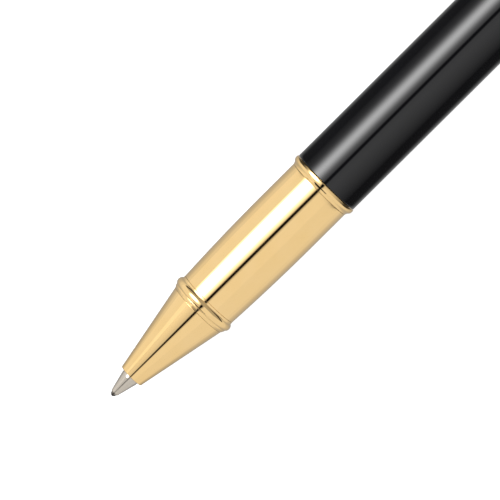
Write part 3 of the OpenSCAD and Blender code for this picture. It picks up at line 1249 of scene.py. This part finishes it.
@dataclass
class Barrel:
    """The lacquered barrel, its gold tail, its threaded bush and the spring inside."""

    shop: Workshop
    radius: float = 5.205
    parallel: float = 43.0
    tail_r: float = 4.6
    bore_r: float = 4.55
    tail_bore_r: float = 4.1
    edge: float = 0.07
    thread_r: float = 4.08
    thread_depth: float = 0.4
    spring_turns: float = 6.0
    spring_mean_r: float = 2.3
    wire_r: float = 0.2
    skirt_bore_r: float = 3.3
    neck_r: float = 4.35
    body: str = "barrel"

    def build(self) -> None:
        """Makes every piece of the barrel."""
        self.tube()
        self.tail()
        self.bush()
        self.spring()
        self.shop.dress("spring_cup", Finish.BLACK)

    def tube(self) -> None:
        """Turns the tube, which is parallel and then draws in slowly to the tail."""
        start = low_x("barrel_tube")
        end = high_x("barrel_tube")
        level = start - 0.04 + self.parallel
        drop = self.radius - self.tail_r

        def radius_at(x: float) -> float:
            """Gives the tube's radius in its tapered part."""
            return self.radius - drop * ((x - level) / (end - level)) ** 2

        self.shop.turn("barrel_tube", self.body, Finish.LACQUER, [
            Corner(start, self.bore_r, 0.03),
            Corner(start, self.radius, self.edge),
            *curve(level, end - 0.2, radius_at, 40),
            Corner(end, self.tail_r, 0.04),
            Corner(end, self.tail_bore_r),
            Corner(level + 8, self.tail_bore_r),
            Corner(level + 6, self.bore_r),
        ])

    def tail(self) -> None:
        """Turns the gold tail: a ring, a fine groove and a low dome, on a plug with a skirt."""
        tube_end = high_x("barrel_tube")
        end = high_x("tail_plug")
        front = low_x("tail_plug")
        seat = high_x("spring_cup") + 0.1
        ring = self.tail_r + 0.05
        plug = self.tail_bore_r - 0.02
        self.shop.turn("tail_plug", self.body, Finish.GOLD, [
            Corner(seat, 0.0),
            Corner(seat, self.skirt_bore_r),
            Corner(front, self.skirt_bore_r, 0.05),
            Corner(front, plug, 0.1),
            Corner(tube_end + 0.02, plug),
            Corner(tube_end + 0.02, ring, 0.06),
            Corner(tube_end + 1.06, ring, 0.06),
            Corner(tube_end + 1.2, self.neck_r, 0.03),
            Corner(tube_end + 1.4, self.neck_r, 0.03),
            *dome(tube_end + 1.5, end, self.neck_r + 0.1),
        ], closed=False)

    def bush(self) -> None:
        """Turns the brass bush and cuts its female thread."""
        start = low_x("barrel_bush")
        end = high_x("barrel_bush")
        minor = self.thread_r - self.thread_depth
        outer = self.bore_r - 0.02
        crest = high_x("section_bush") - GripSection.thread_from_end - GripSection.thread_length - 0.5
        cut_end = high_x("section_bush") - 0.55
        self.shop.turn("barrel_bush", self.body, Finish.BRASS, [
            Corner(start, outer, 0.05),
            Corner(end, outer, 0.05),
            Corner(end, minor, 0.05),
            Corner(cut_end + 0.35, minor),
            *threaded(cut_end, start, self.thread_r, -self.thread_depth, (crest + 0.85, cut_end - 0.4)),
        ], thread=(1.0, crest))

    def spring(self) -> None:
        """Winds the spring that holds the refill forward; the real one shortens as the refill yields, while
        this mesh keeps one length.
        """
        low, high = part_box("refill_spring")
        start = low.x
        piece = new_object("refill_spring_wound", [(start, 0, 0)])
        made_by_nodes(piece, self.shop.coiler, {
            "Turns": self.spring_turns,
            "Mean radius": self.spring_mean_r * MM,
            "Wire radius": self.wire_r * MM,
            "Length": high.x - low.x,
            "Start": start,
            "Material": self.shop.paints.get(Finish.WIRE),
        })
        self.shop.fit(piece, "refill_spring", "spring_seat", Finish.WIRE)
        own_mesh(piece)


@dataclass
class Cap:
    """The cap, posted on the barrel's tail: band, tube, crown and what they hold."""

    shop: Workshop
    tube_r: float = 6.2
    bore_r: float = 5.75
    lip_bore_r: float = 5.42
    band_r: float = 6.3
    line_width: float = 0.44
    line_depth: float = 0.16
    jewel_r: float = 4.38
    edge: float = 0.04
    body: str = "cap"

    def build(self) -> None:
        """Makes the cap's outer pieces and dresses what they hold."""
        self.band()
        self.tube()
        self.finial()
        self.jewel()
        for node in ("ring_spacer", "inner_cap"):
            self.shop.dress(node, Finish.BLACK)
        self.shop.dress("crown_plug", Finish.BRASS)
        self.shop.dress("finial_screw", Finish.STEEL)
        for node in ("lock_washer", "snap_ring"):
            self.shop.dress(node, Finish.WIRE)
        for node in ("clip_bracket", "clip_collar"):
            self.shop.dress(node, Finish.GOLD)

    def band(self) -> None:
        """Turns the gold band: a rounded lip, a broad belt between two sunk lines, and a skirt."""
        start = low_x("cap_band")
        shown = low_x("cap_tube") - 0.02
        end = high_x("cap_band")
        belt = self.band_r - 0.02
        skirt = self.bore_r - 0.02
        self.shop.turn("cap_band", self.body, Finish.GOLD, [
            Corner(start, self.lip_bore_r, 0.12),
            Corner(start, self.band_r, 0.25),
            *self.sunk_line(start + 0.98, self.band_r, belt),
            *self.sunk_line(start + 3.48, belt, self.band_r),
            Corner(shown, self.band_r, 0.1),
            Corner(shown, skirt, 0.03),
            Corner(end, skirt, 0.05),
            Corner(end, self.lip_bore_r, 0.05),
        ])

    def sunk_line(self, start: float, before: float, after: float) -> list[Corner]:
        """Draws one sunk line of the band.

        Args:
            start: Where it starts along the pen, in mm.
            before: Radius of the band in front of it, in mm.
            after: Radius of the band behind it.

        Returns:
            Its four corners.
        """
        slope = 0.05
        end = start + self.line_width
        sunk = self.band_r - self.line_depth
        return [
            Corner(start, before, 0.05),
            Corner(start + slope, sunk, 0.03),
            Corner(end - slope, sunk, 0.03),
            Corner(end, after, 0.05),
        ]

    def tube(self) -> None:
        """Turns the lacquered tube."""
        start = low_x("cap_tube")
        end = high_x("cap_tube")
        self.shop.turn("cap_tube", self.body, Finish.LACQUER, [
            Corner(start, self.bore_r),
            Corner(start, self.tube_r, self.edge),
            Corner(end, self.tube_r, self.edge),
            Corner(end, self.bore_r),
        ])

    def finial(self) -> None:
        """Turns the gold finial: a rounded step, a cove and the rim round the jewel."""
        start = low_x("finial_base")
        seat = high_x("clip_collar") + 0.02
        screw = 1.53
        self.shop.turn("finial_base", self.body, Finish.GOLD, [
            Corner(start, screw, 0.03),
            Corner(start, 4.58, 0.03),
            Corner(seat, 4.58),
            Corner(seat, 5.9, 0.16),
            Corner(seat + 0.55, 5.9, 0.2),
            Corner(seat + 1.25, 5.1, 0.3),
            Corner(seat + 1.93, 5.05, 0.2),
            Corner(seat + 1.93, 4.4, 0.04),
            Corner(seat + 1.43, 4.4),
            Corner(seat + 1.43, 0.6),
            Corner(seat + 1.26, 0.6),
            Corner(seat + 1.26, screw),
        ])

    def jewel(self) -> None:
        """Turns the black jewel in the crown."""
        start = low_x("finial_jewel")
        end = high_x("finial_jewel")
        self.shop.turn("finial_jewel", self.body, Finish.LACQUER, [
            Corner(start, 0.0),
            Corner(start, self.jewel_r, 0.05),
            *dome(start + 0.5, end, self.jewel_r, 28),
        ], closed=False)


@dataclass
class Clip:
    """The clip's springy arm: a slim crowned bar that ends in a ball."""

    shop: Workshop
    below: float = 38.0
    root_w: float = 3.2
    end_w: float = 1.9
    low_z: float = 7.35
    high_z: float = 8.2
    foot_z: float = 6.96
    pivot_x: float = 147.7
    ball_x: float = 110.4
    ball_r: float = 1.3
    ball_z: float = 7.6
    edge_r: float = 0.22
    crown: float = 0.12
    bend_length: float = 1.2
    foot_fall: float = 0.45
    foot_fall_length: float = 0.5
    body: str = "clip"

    def place(self, x: float, across: float, up: float) -> tuple[float, float, float]:
        """Places a point of the clip, drawn as if it pointed up, where the clip points.

        Args:
            x: Place along the pen, in mm.
            across: Distance across the clip.
            up: Distance from the pen's axis.

        Returns:
            The point, in metres.
        """
        turn = math.radians(90 + self.below)
        y = across * math.cos(turn) - up * math.sin(turn)
        z = across * math.sin(turn) + up * math.cos(turn)
        return (x * MM, y * MM, z * MM)

    def section(self, x: float, width: float, low: float, high: float) -> list[tuple[float, float, float]]:
        """Draws the bar's cross-section: flat below, softly crowned above, with rounded edges.

        Args:
            x: Place along the pen, in mm.
            width: The bar's width.
            low: Its underside's distance from the axis.
            high: Its crown's distance from the axis.

        Returns:
            The ring of points.
        """
        half = width / 2
        round_r = min(self.edge_r, (high - low) * 0.35)
        steps = 6
        ring = []
        for side in (1, -1):
            for i in range(steps + 1):
                a = math.pi / 2 * (i / steps if side > 0 else 1 - i / steps)
                across = side * (half - round_r + round_r * math.cos(a))
                lift = self.crown * (1 - (across / half) ** 2)
                ring.append((across, high - self.crown - round_r + round_r * math.sin(a) + lift))
        foot_r = round_r * 0.6
        for side in (-1, 1):
            for i in range(steps + 1):
                a = math.pi / 2 * (i / steps if side < 0 else 1 - i / steps)
                across = side * (half - foot_r + foot_r * math.cos(a))
                ring.append((across, low + foot_r - foot_r * math.sin(a)))
        return [self.place(x, across, up) for across, up in ring]

    def build(self) -> None:
        """Sweeps the bar from its foot over the bend to the ball's neck, and adds the ball."""
        foot_x = self.pivot_x + 0.1
        neck_x = self.ball_x + 0.4
        rings = []
        steps = 60
        for i in range(steps + 1):
            x = foot_x + (neck_x - foot_x) * i / steps
            share = i / steps
            width = self.root_w + (self.end_w - self.root_w) * share
            from_foot = foot_x - x
            bend = min(1.0, from_foot / self.bend_length)
            low = self.foot_z + (self.low_z - self.foot_z) * bend * bend * (3 - 2 * bend)
            fall = self.foot_fall * max(0.0, 1 - from_foot / self.foot_fall_length) ** 2
            high = self.high_z - fall
            rings.append(self.section(x, width, low, high))
        sides = len(rings[0])
        points = [point for ring in rings for point in ring]
        faces = [tuple(range(sides)), tuple(reversed(range(len(points) - sides, len(points))))]
        for i in range(len(rings) - 1):
            for j in range(sides):
                k = (j + 1) % sides
                faces.append((i * sides + j, i * sides + k, (i + 1) * sides + k, (i + 1) * sides + j))
        piece = new_object("clip_arm_formed", points, faces=faces)
        self.add_ball(piece)
        piece.data.materials.append(self.shop.paints.get(Finish.GOLD))
        piece.data.shade_smooth()
        self.shop.fit(piece, "clip_arm", self.body, Finish.GOLD)

    def add_ball(self, piece: bpy.types.Object) -> None:
        """Adds the ball at the clip's end.

        Args:
            piece: The clip's arm.
        """
        work = bmesh.new()
        work.from_mesh(piece.data)
        ball = bmesh.ops.create_uvsphere(work, u_segments=48, v_segments=24, radius=self.ball_r * MM)
        bmesh.ops.translate(
            work, verts=ball["verts"], vec=Vector(self.place(self.ball_x, 0, self.ball_z))
        )
        bmesh.ops.recalc_face_normals(work, faces=work.faces)
        work.to_mesh(piece.data)
        work.free()


# ---- Studio ----


@dataclass(frozen=True)
class Studio:
    """A pale floor under a long soft lamp, and the camera above.

    Attributes:
        lamp_angle: How far the long lamp stands from overhead, towards +Y, in degrees.
        lamp_spread: How fast it fades to each side, in degrees.
        lamp_light: Its radiance.
        lamp_fade: Between which slopes along the pen it rises from its front end's light.
        lamp_front: Share of its light that is left at its front end.
        fill_light: Radiance of the fill overhead.
        fill_stretch: How fast the fill falls off to the sides; 1 follows a plain cosine.
        fill_least: Share of the fill that is left everywhere.
        gap_angles: Where the dark gap straight overhead ends and where its edge has gone.
        shoulder_angles: Between which angles the dimmer light beside the gap comes up.
        shoulder_light: Share of the light beside the gap.
        patch_along: Between which slopes along the pen the dark patch in front fades.
        patch_across: The same to each side of the patch's middle.
        patch_middle: Where its middle lies across the pen.
        patch_light: Share of the light inside it.
        rear_along: Between which slopes the light turns to the even one behind.
        rear_light: Radiance of that light.
        floor_half: Half of the floor's width, in metres.
        floor_grey: How much of the light the paper scatters.
        floor_glow: Radiance that it gives off itself.
        gloss_edge: Where the floor's painted pale reflection, seen only by gloss, ends beside the grip, in
            mm.
        dark_reach: Between which distances from the pen the floor shows gloss a painted dark reflection, in
            mm.
        dark_light: Radiance of that painted dark reflection at those distances.
        pale_reach: The same for the painted pale reflection beside the grip, in mm.
        pale_light: Radiance of that painted pale reflection at those distances.
        card_y: How far to the side of the pen the cards stand, in mm.
        card_seam: Height where the lamp side's card ends and the nose's card starts, in mm.
        card_top: Height of the fill side's card and of the roof on it, in mm.
        card_front: Where the cards start, in mm from the writing point.
        lean: How far the camera leans from overhead, towards the crown, in degrees.
        roll: Angle of the pen in the picture, in degrees above horizontal.
        aim: Point of the pen's own plane in the middle of the picture, in mm.
        distance: Distance from the camera to that point, in mm.
        width: Width of that plane that the picture takes in, in mm.
        sensor: Width of the camera's sensor, in mm.
        grip_end: Where the grip ends and the barrel starts, in mm from the writing point.
    """

    lamp_angle: float = 37.0
    lamp_spread: float = 16.0
    lamp_light: float = 9.7
    lamp_fade: Point = (-0.47, -0.2)
    lamp_front: float = 0.015
    fill_light: float = 1.05
    fill_stretch: float = 0.93
    fill_least: float = 0.06
    gap_angles: Point = (2.8, 6.8)
    shoulder_angles: Point = (6.0, 22.0)
    shoulder_light: float = 0.84
    patch_along: Point = (-0.97, -0.9)
    patch_across: Point = (0.2, 0.36)
    patch_middle: float = 0.12
    patch_light: float = 0.02
    rear_along: Point = (0.2, 0.6)
    rear_light: float = 0.55
    floor_half: float = 1.5
    floor_grey: float = 0.3
    floor_glow: float = 0.94
    gloss_edge: Point = (41.6, 42.1)
    dark_reach: Point = (17.0, 6.0)
    dark_light: Point = (0.05, 0.5)
    pale_reach: Point = (5.0, 22.0)
    pale_light: Point = (0.38, 0.8)
    card_y: float = 40.0
    card_seam: float = 25.0
    card_top: float = 40.0
    card_front: float = -120.0
    lean: float = 4.44
    roll: float = 44.84
    aim: Point = (27.43, 0.77)
    distance: float = 600.0
    width: float = 67.9
    sensor: float = 36.0
    grip_end: float = 41.2

    def build(self) -> None:
        """Sets up the light, the floor, the reflectors and the camera."""
        bpy.context.scene.view_settings.view_transform = "Standard"
        self.light()
        self.floor()
        self.reflectors()
        self.camera()

    def light(self) -> None:
        """Makes the world: a long lamp and a fill that run along the pen, with a gap between them."""
        world = bpy.data.worlds.new("studio")
        world.use_nodes = True
        bpy.context.scene.world = world
        tree = world.node_tree
        tree.nodes.clear()
        towards = put(tree, "ShaderNodeTexCoord").outputs["Generated"]
        part = put(tree, "ShaderNodeSeparateXYZ", {0: towards})
        turn = put(
            tree, "ShaderNodeMath", {0: part.outputs["Y"], 1: part.outputs["Z"]}, operation="ARCTAN2"
        )
        angle = put(tree, "ShaderNodeMath", {0: turn.outputs[0]}, operation="DEGREES").outputs[0]
        off = put(tree, "ShaderNodeMath", {0: angle, 1: self.lamp_angle}, operation="SUBTRACT")
        spread = put(tree, "ShaderNodeMath", {0: off.outputs[0], 1: self.lamp_spread}, operation="DIVIDE")
        square = put(tree, "ShaderNodeMath", {0: spread.outputs[0], 1: 2.0}, operation="POWER")
        minus = put(tree, "ShaderNodeMath", {0: square.outputs[0], 1: -1.0}, operation="MULTIPLY")
        glow = put(tree, "ShaderNodeMath", {0: minus.outputs[0]}, operation="EXPONENT")
        widened = put(
            tree, "ShaderNodeMath", {0: turn.outputs[0], 1: self.fill_stretch}, operation="MULTIPLY"
        )
        fall = put(tree, "ShaderNodeMath", {0: widened.outputs[0]}, operation="COSINE")
        low_fill = put(tree, "ShaderNodeMath", {0: fall.outputs[0], 1: self.fill_least}, operation="MAXIMUM")
        fill = put(
            tree, "ShaderNodeMath", {0: low_fill.outputs[0], 1: self.fill_light}, operation="MULTIPLY"
        )
        side = put(tree, "ShaderNodeMath", {0: angle}, operation="ABSOLUTE").outputs[0]
        across = put(
            tree, "ShaderNodeMath", {0: part.outputs["Y"], 1: self.patch_middle}, operation="SUBTRACT"
        )
        aside = put(tree, "ShaderNodeMath", {0: across.outputs[0]}, operation="ABSOLUTE").outputs[0]
        lamp_range = (self.lamp_light * self.lamp_front, self.lamp_light)
        ramps = {
            "lamp_end": (part.outputs["X"], self.lamp_fade, lamp_range, "SMOOTHSTEP"),
            "gap": (side, self.gap_angles, (0.0, 1.0), "LINEAR"),
            "shoulder": (side, self.shoulder_angles, (self.shoulder_light, 1.0), "LINEAR"),
            "ahead": (part.outputs["X"], self.patch_along, (self.patch_light, 1.0), "LINEAR"),
            "outside": (aside, self.patch_across, (0.0, 1.0), "LINEAR"),
            "behind": (part.outputs["X"], self.rear_along, (0.0, 1.0), "LINEAR"),
        }
        share = {}
        for name, (value, (start, end), (low, high), shape) in ramps.items():
            inputs = {"Value": value, "From Min": start, "From Max": end, "To Min": low, "To Max": high}
            share[name] = put(tree, "ShaderNodeMapRange", inputs, interpolation_type=shape).outputs[0]
        patch = put(
            tree, "ShaderNodeMath", {0: share["ahead"], 1: share["outside"]}, operation="MAXIMUM"
        )
        strength = put(
            tree,
            "ShaderNodeMath",
            {0: glow.outputs[0], 1: share["lamp_end"], 2: fill.outputs[0]},
            operation="MULTIPLY_ADD",
        )
        for part_light in (share["gap"], share["shoulder"], patch.outputs[0]):
            strength = put(
                tree, "ShaderNodeMath", {0: strength.outputs[0], 1: part_light}, operation="MULTIPLY"
            )
        strength = put(
            tree,
            "ShaderNodeMix",
            {"Factor": share["behind"], "A": strength.outputs[0], "B": self.rear_light},
            data_type="FLOAT",
        )
        lamp = put(tree, "ShaderNodeBackground", {"Strength": strength.outputs[0]})
        pale = put(tree, "ShaderNodeBackground", {"Color": to_linear("#FFFFFF"), "Strength": 1.0})
        ray = put(tree, "ShaderNodeLightPath")
        seen = put(
            tree,
            "ShaderNodeMixShader",
            {0: ray.outputs["Is Camera Ray"], 1: lamp.outputs[0], 2: pale.outputs[0]},
        )
        put(tree, "ShaderNodeOutputWorld", {0: seen.outputs[0]})

    def floor(self) -> None:
        """Lays the pale floor, which shows the pen's gloss a painted reflection, pale beside the grip and
        dark beyond it.
        """
        size = self.floor_half
        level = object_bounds()[0].z
        corners = [(-size, -size, level), (size, -size, level), (size, size, level), (-size, size, level)]
        floor = new_object("floor", corners, faces=[(0, 1, 2, 3)])
        material = bpy.data.materials.new("floor_paper")
        material.use_nodes = True
        tree = material.node_tree
        tree.nodes.clear()
        place = put(tree, "ShaderNodeTexCoord").outputs["Object"]
        part = put(tree, "ShaderNodeSeparateXYZ", {0: place})
        out = put(tree, "ShaderNodeMath", {0: part.outputs["Y"]}, operation="ABSOLUTE")
        slant = put(
            tree,
            "ShaderNodeMath",
            {0: out.outputs[0], 1: math.tan(math.radians(self.lean)), 2: part.outputs["X"]},
            operation="MULTIPLY_ADD",
        )
        away = out.outputs[0]
        ramps = {
            "beyond": (slant.outputs[0], self.gloss_edge, (0.0, 1.0), "LINEAR"),
            "dark": (away, self.dark_reach, self.dark_light, "SMOOTHSTEP"),
            "pale": (away, self.pale_reach, self.pale_light, "LINEAR"),
        }
        share = {}
        for name, (value, (start, end), (low, high), shape) in ramps.items():
            reach = {"From Min": start * MM, "From Max": end * MM}
            inputs = {"Value": value, **reach, "To Min": low, "To Max": high}
            share[name] = put(tree, "ShaderNodeMapRange", inputs, interpolation_type=shape).outputs[0]
        # Painted reflection: glossy rays see this glow in place of the paper, pale beside the grip and dark
        # beyond it.
        painted_reflection_strength = put(
            tree,
            "ShaderNodeMix",
            {"Factor": share["beyond"], "A": share["pale"], "B": share["dark"]},
            data_type="FLOAT",
        )
        painted_reflection = put(tree, "ShaderNodeEmission", {"Strength": painted_reflection_strength.outputs[0]})
        paper = put(tree, "ShaderNodeBsdfDiffuse", {"Color": (*(self.floor_grey,) * 3, 1.0)})
        glow = put(tree, "ShaderNodeEmission", {"Strength": self.floor_glow})
        pale = put(tree, "ShaderNodeAddShader", {0: paper.outputs[0], 1: glow.outputs[0]})
        ray = put(tree, "ShaderNodeLightPath")
        seen = put(
            tree,
            "ShaderNodeMixShader",
            {0: ray.outputs["Is Glossy Ray"], 1: pale.outputs[0], 2: painted_reflection.outputs[0]},
        )
        clear = put(tree, "ShaderNodeBsdfTransparent")
        under = put(tree, "ShaderNodeNewGeometry")
        one_sided = put(
            tree,
            "ShaderNodeMixShader",
            {0: under.outputs["Backfacing"], 1: seen.outputs[0], 2: clear.outputs[0]},
        )
        put(tree, "ShaderNodeOutputMaterial", {0: one_sided.outputs[0]})
        floor.data.materials.append(material)
        floor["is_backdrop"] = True
        log.info("floor laid at %.1f mm", level / MM)

    def reflectors(self) -> None:
        """Stands pale cards beside the grip and hangs one over its fill side, seen only in its gloss."""
        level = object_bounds()[0].z / MM
        side, seam, top, end = self.card_y, self.card_seam, self.card_top, self.grip_end
        self.reflector("card_lamp_side", light=0.92, first=(side, level), last=(side, seam), end=end)
        self.reflector("card_fill_side", light=0.84, first=(-side, level), last=(-side, top), end=end)
        self.reflector("card_nose", light=1.08, first=(side, seam), last=(side, seam + 20.0), end=4.0)
        self.reflector("roof_fill_side", light=0.88, first=(-side, top), last=(-6.0, top), end=end)

    def reflector(self, name: str, light: float, first: Point, last: Point, end: float) -> None:
        """Adds one glowing card that only gloss sees, its rear edge slanted as the camera leans.

        Args:
            name: Its name.
            light: Its radiance.
            first: Where one long edge runs, as y and z in mm.
            last: Where the other runs.
            end: Where on the pen its reflection ends, in mm from the writing point.
        """
        material = bpy.data.materials.new(name)
        material.use_nodes = True
        tree = material.node_tree
        tree.nodes.clear()
        glow = put(tree, "ShaderNodeEmission", {"Strength": light})
        put(tree, "ShaderNodeOutputMaterial", {0: glow.outputs[0]})
        slant = math.tan(math.radians(self.lean))
        rear = [(end - slant * math.hypot(*edge), *edge) for edge in (first, last)]
        corners = [(self.card_front, *first), rear[0], rear[1], (self.card_front, *last)]
        card = new_object(name, [[size * MM for size in corner] for corner in corners], faces=[(0, 1, 2, 3)])
        card.data.materials.append(material)
        card.visible_camera = False
        card.visible_diffuse = False
        card.visible_shadow = False
        card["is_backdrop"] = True

    def camera(self) -> None:
        """Hangs the camera over the pen, leaning towards the crown."""
        lean = math.radians(self.lean)
        roll = math.radians(self.roll)
        back = Vector((math.sin(lean), 0.0, math.cos(lean)))
        along = Vector((math.cos(lean), 0.0, -math.sin(lean)))
        across = Vector((0.0, 1.0, 0.0))
        right = along * math.cos(roll) - across * math.sin(roll)
        up = along * math.sin(roll) + across * math.cos(roll)
        aim = Vector((self.aim[0], self.aim[1], 0.0)) * MM
        data = bpy.data.cameras.new("camera")
        data.lens = self.sensor * self.distance / self.width
        data.sensor_width = self.sensor
        data.clip_start = 0.01
        data.clip_end = 20.0
        camera = bpy.data.objects.new("camera", data)
        bpy.context.scene.collection.objects.link(camera)
        place = aim + back * self.distance * MM
        camera.matrix_world = Matrix((
            (right.x, up.x, back.x, place.x),
            (right.y, up.y, back.y, place.y),
            (right.z, up.z, back.z, place.z),
            (0.0, 0.0, 0.0, 1.0),
        ))
        bpy.context.scene.camera = camera


def main() -> None:
    """Builds the pen and the studio, in order."""
    logging.basicConfig(level=logging.INFO, format="%(name)s: %(message)s")
    shop = Workshop()
    studio = Studio()
    studio.build()
    for part in (GripSection(shop), Refill(shop), Barrel(shop), Cap(shop), Clip(shop)):
        part.build()
        log.info("%s done", type(part).__name__)


if __name__ == "__main__":
    main()
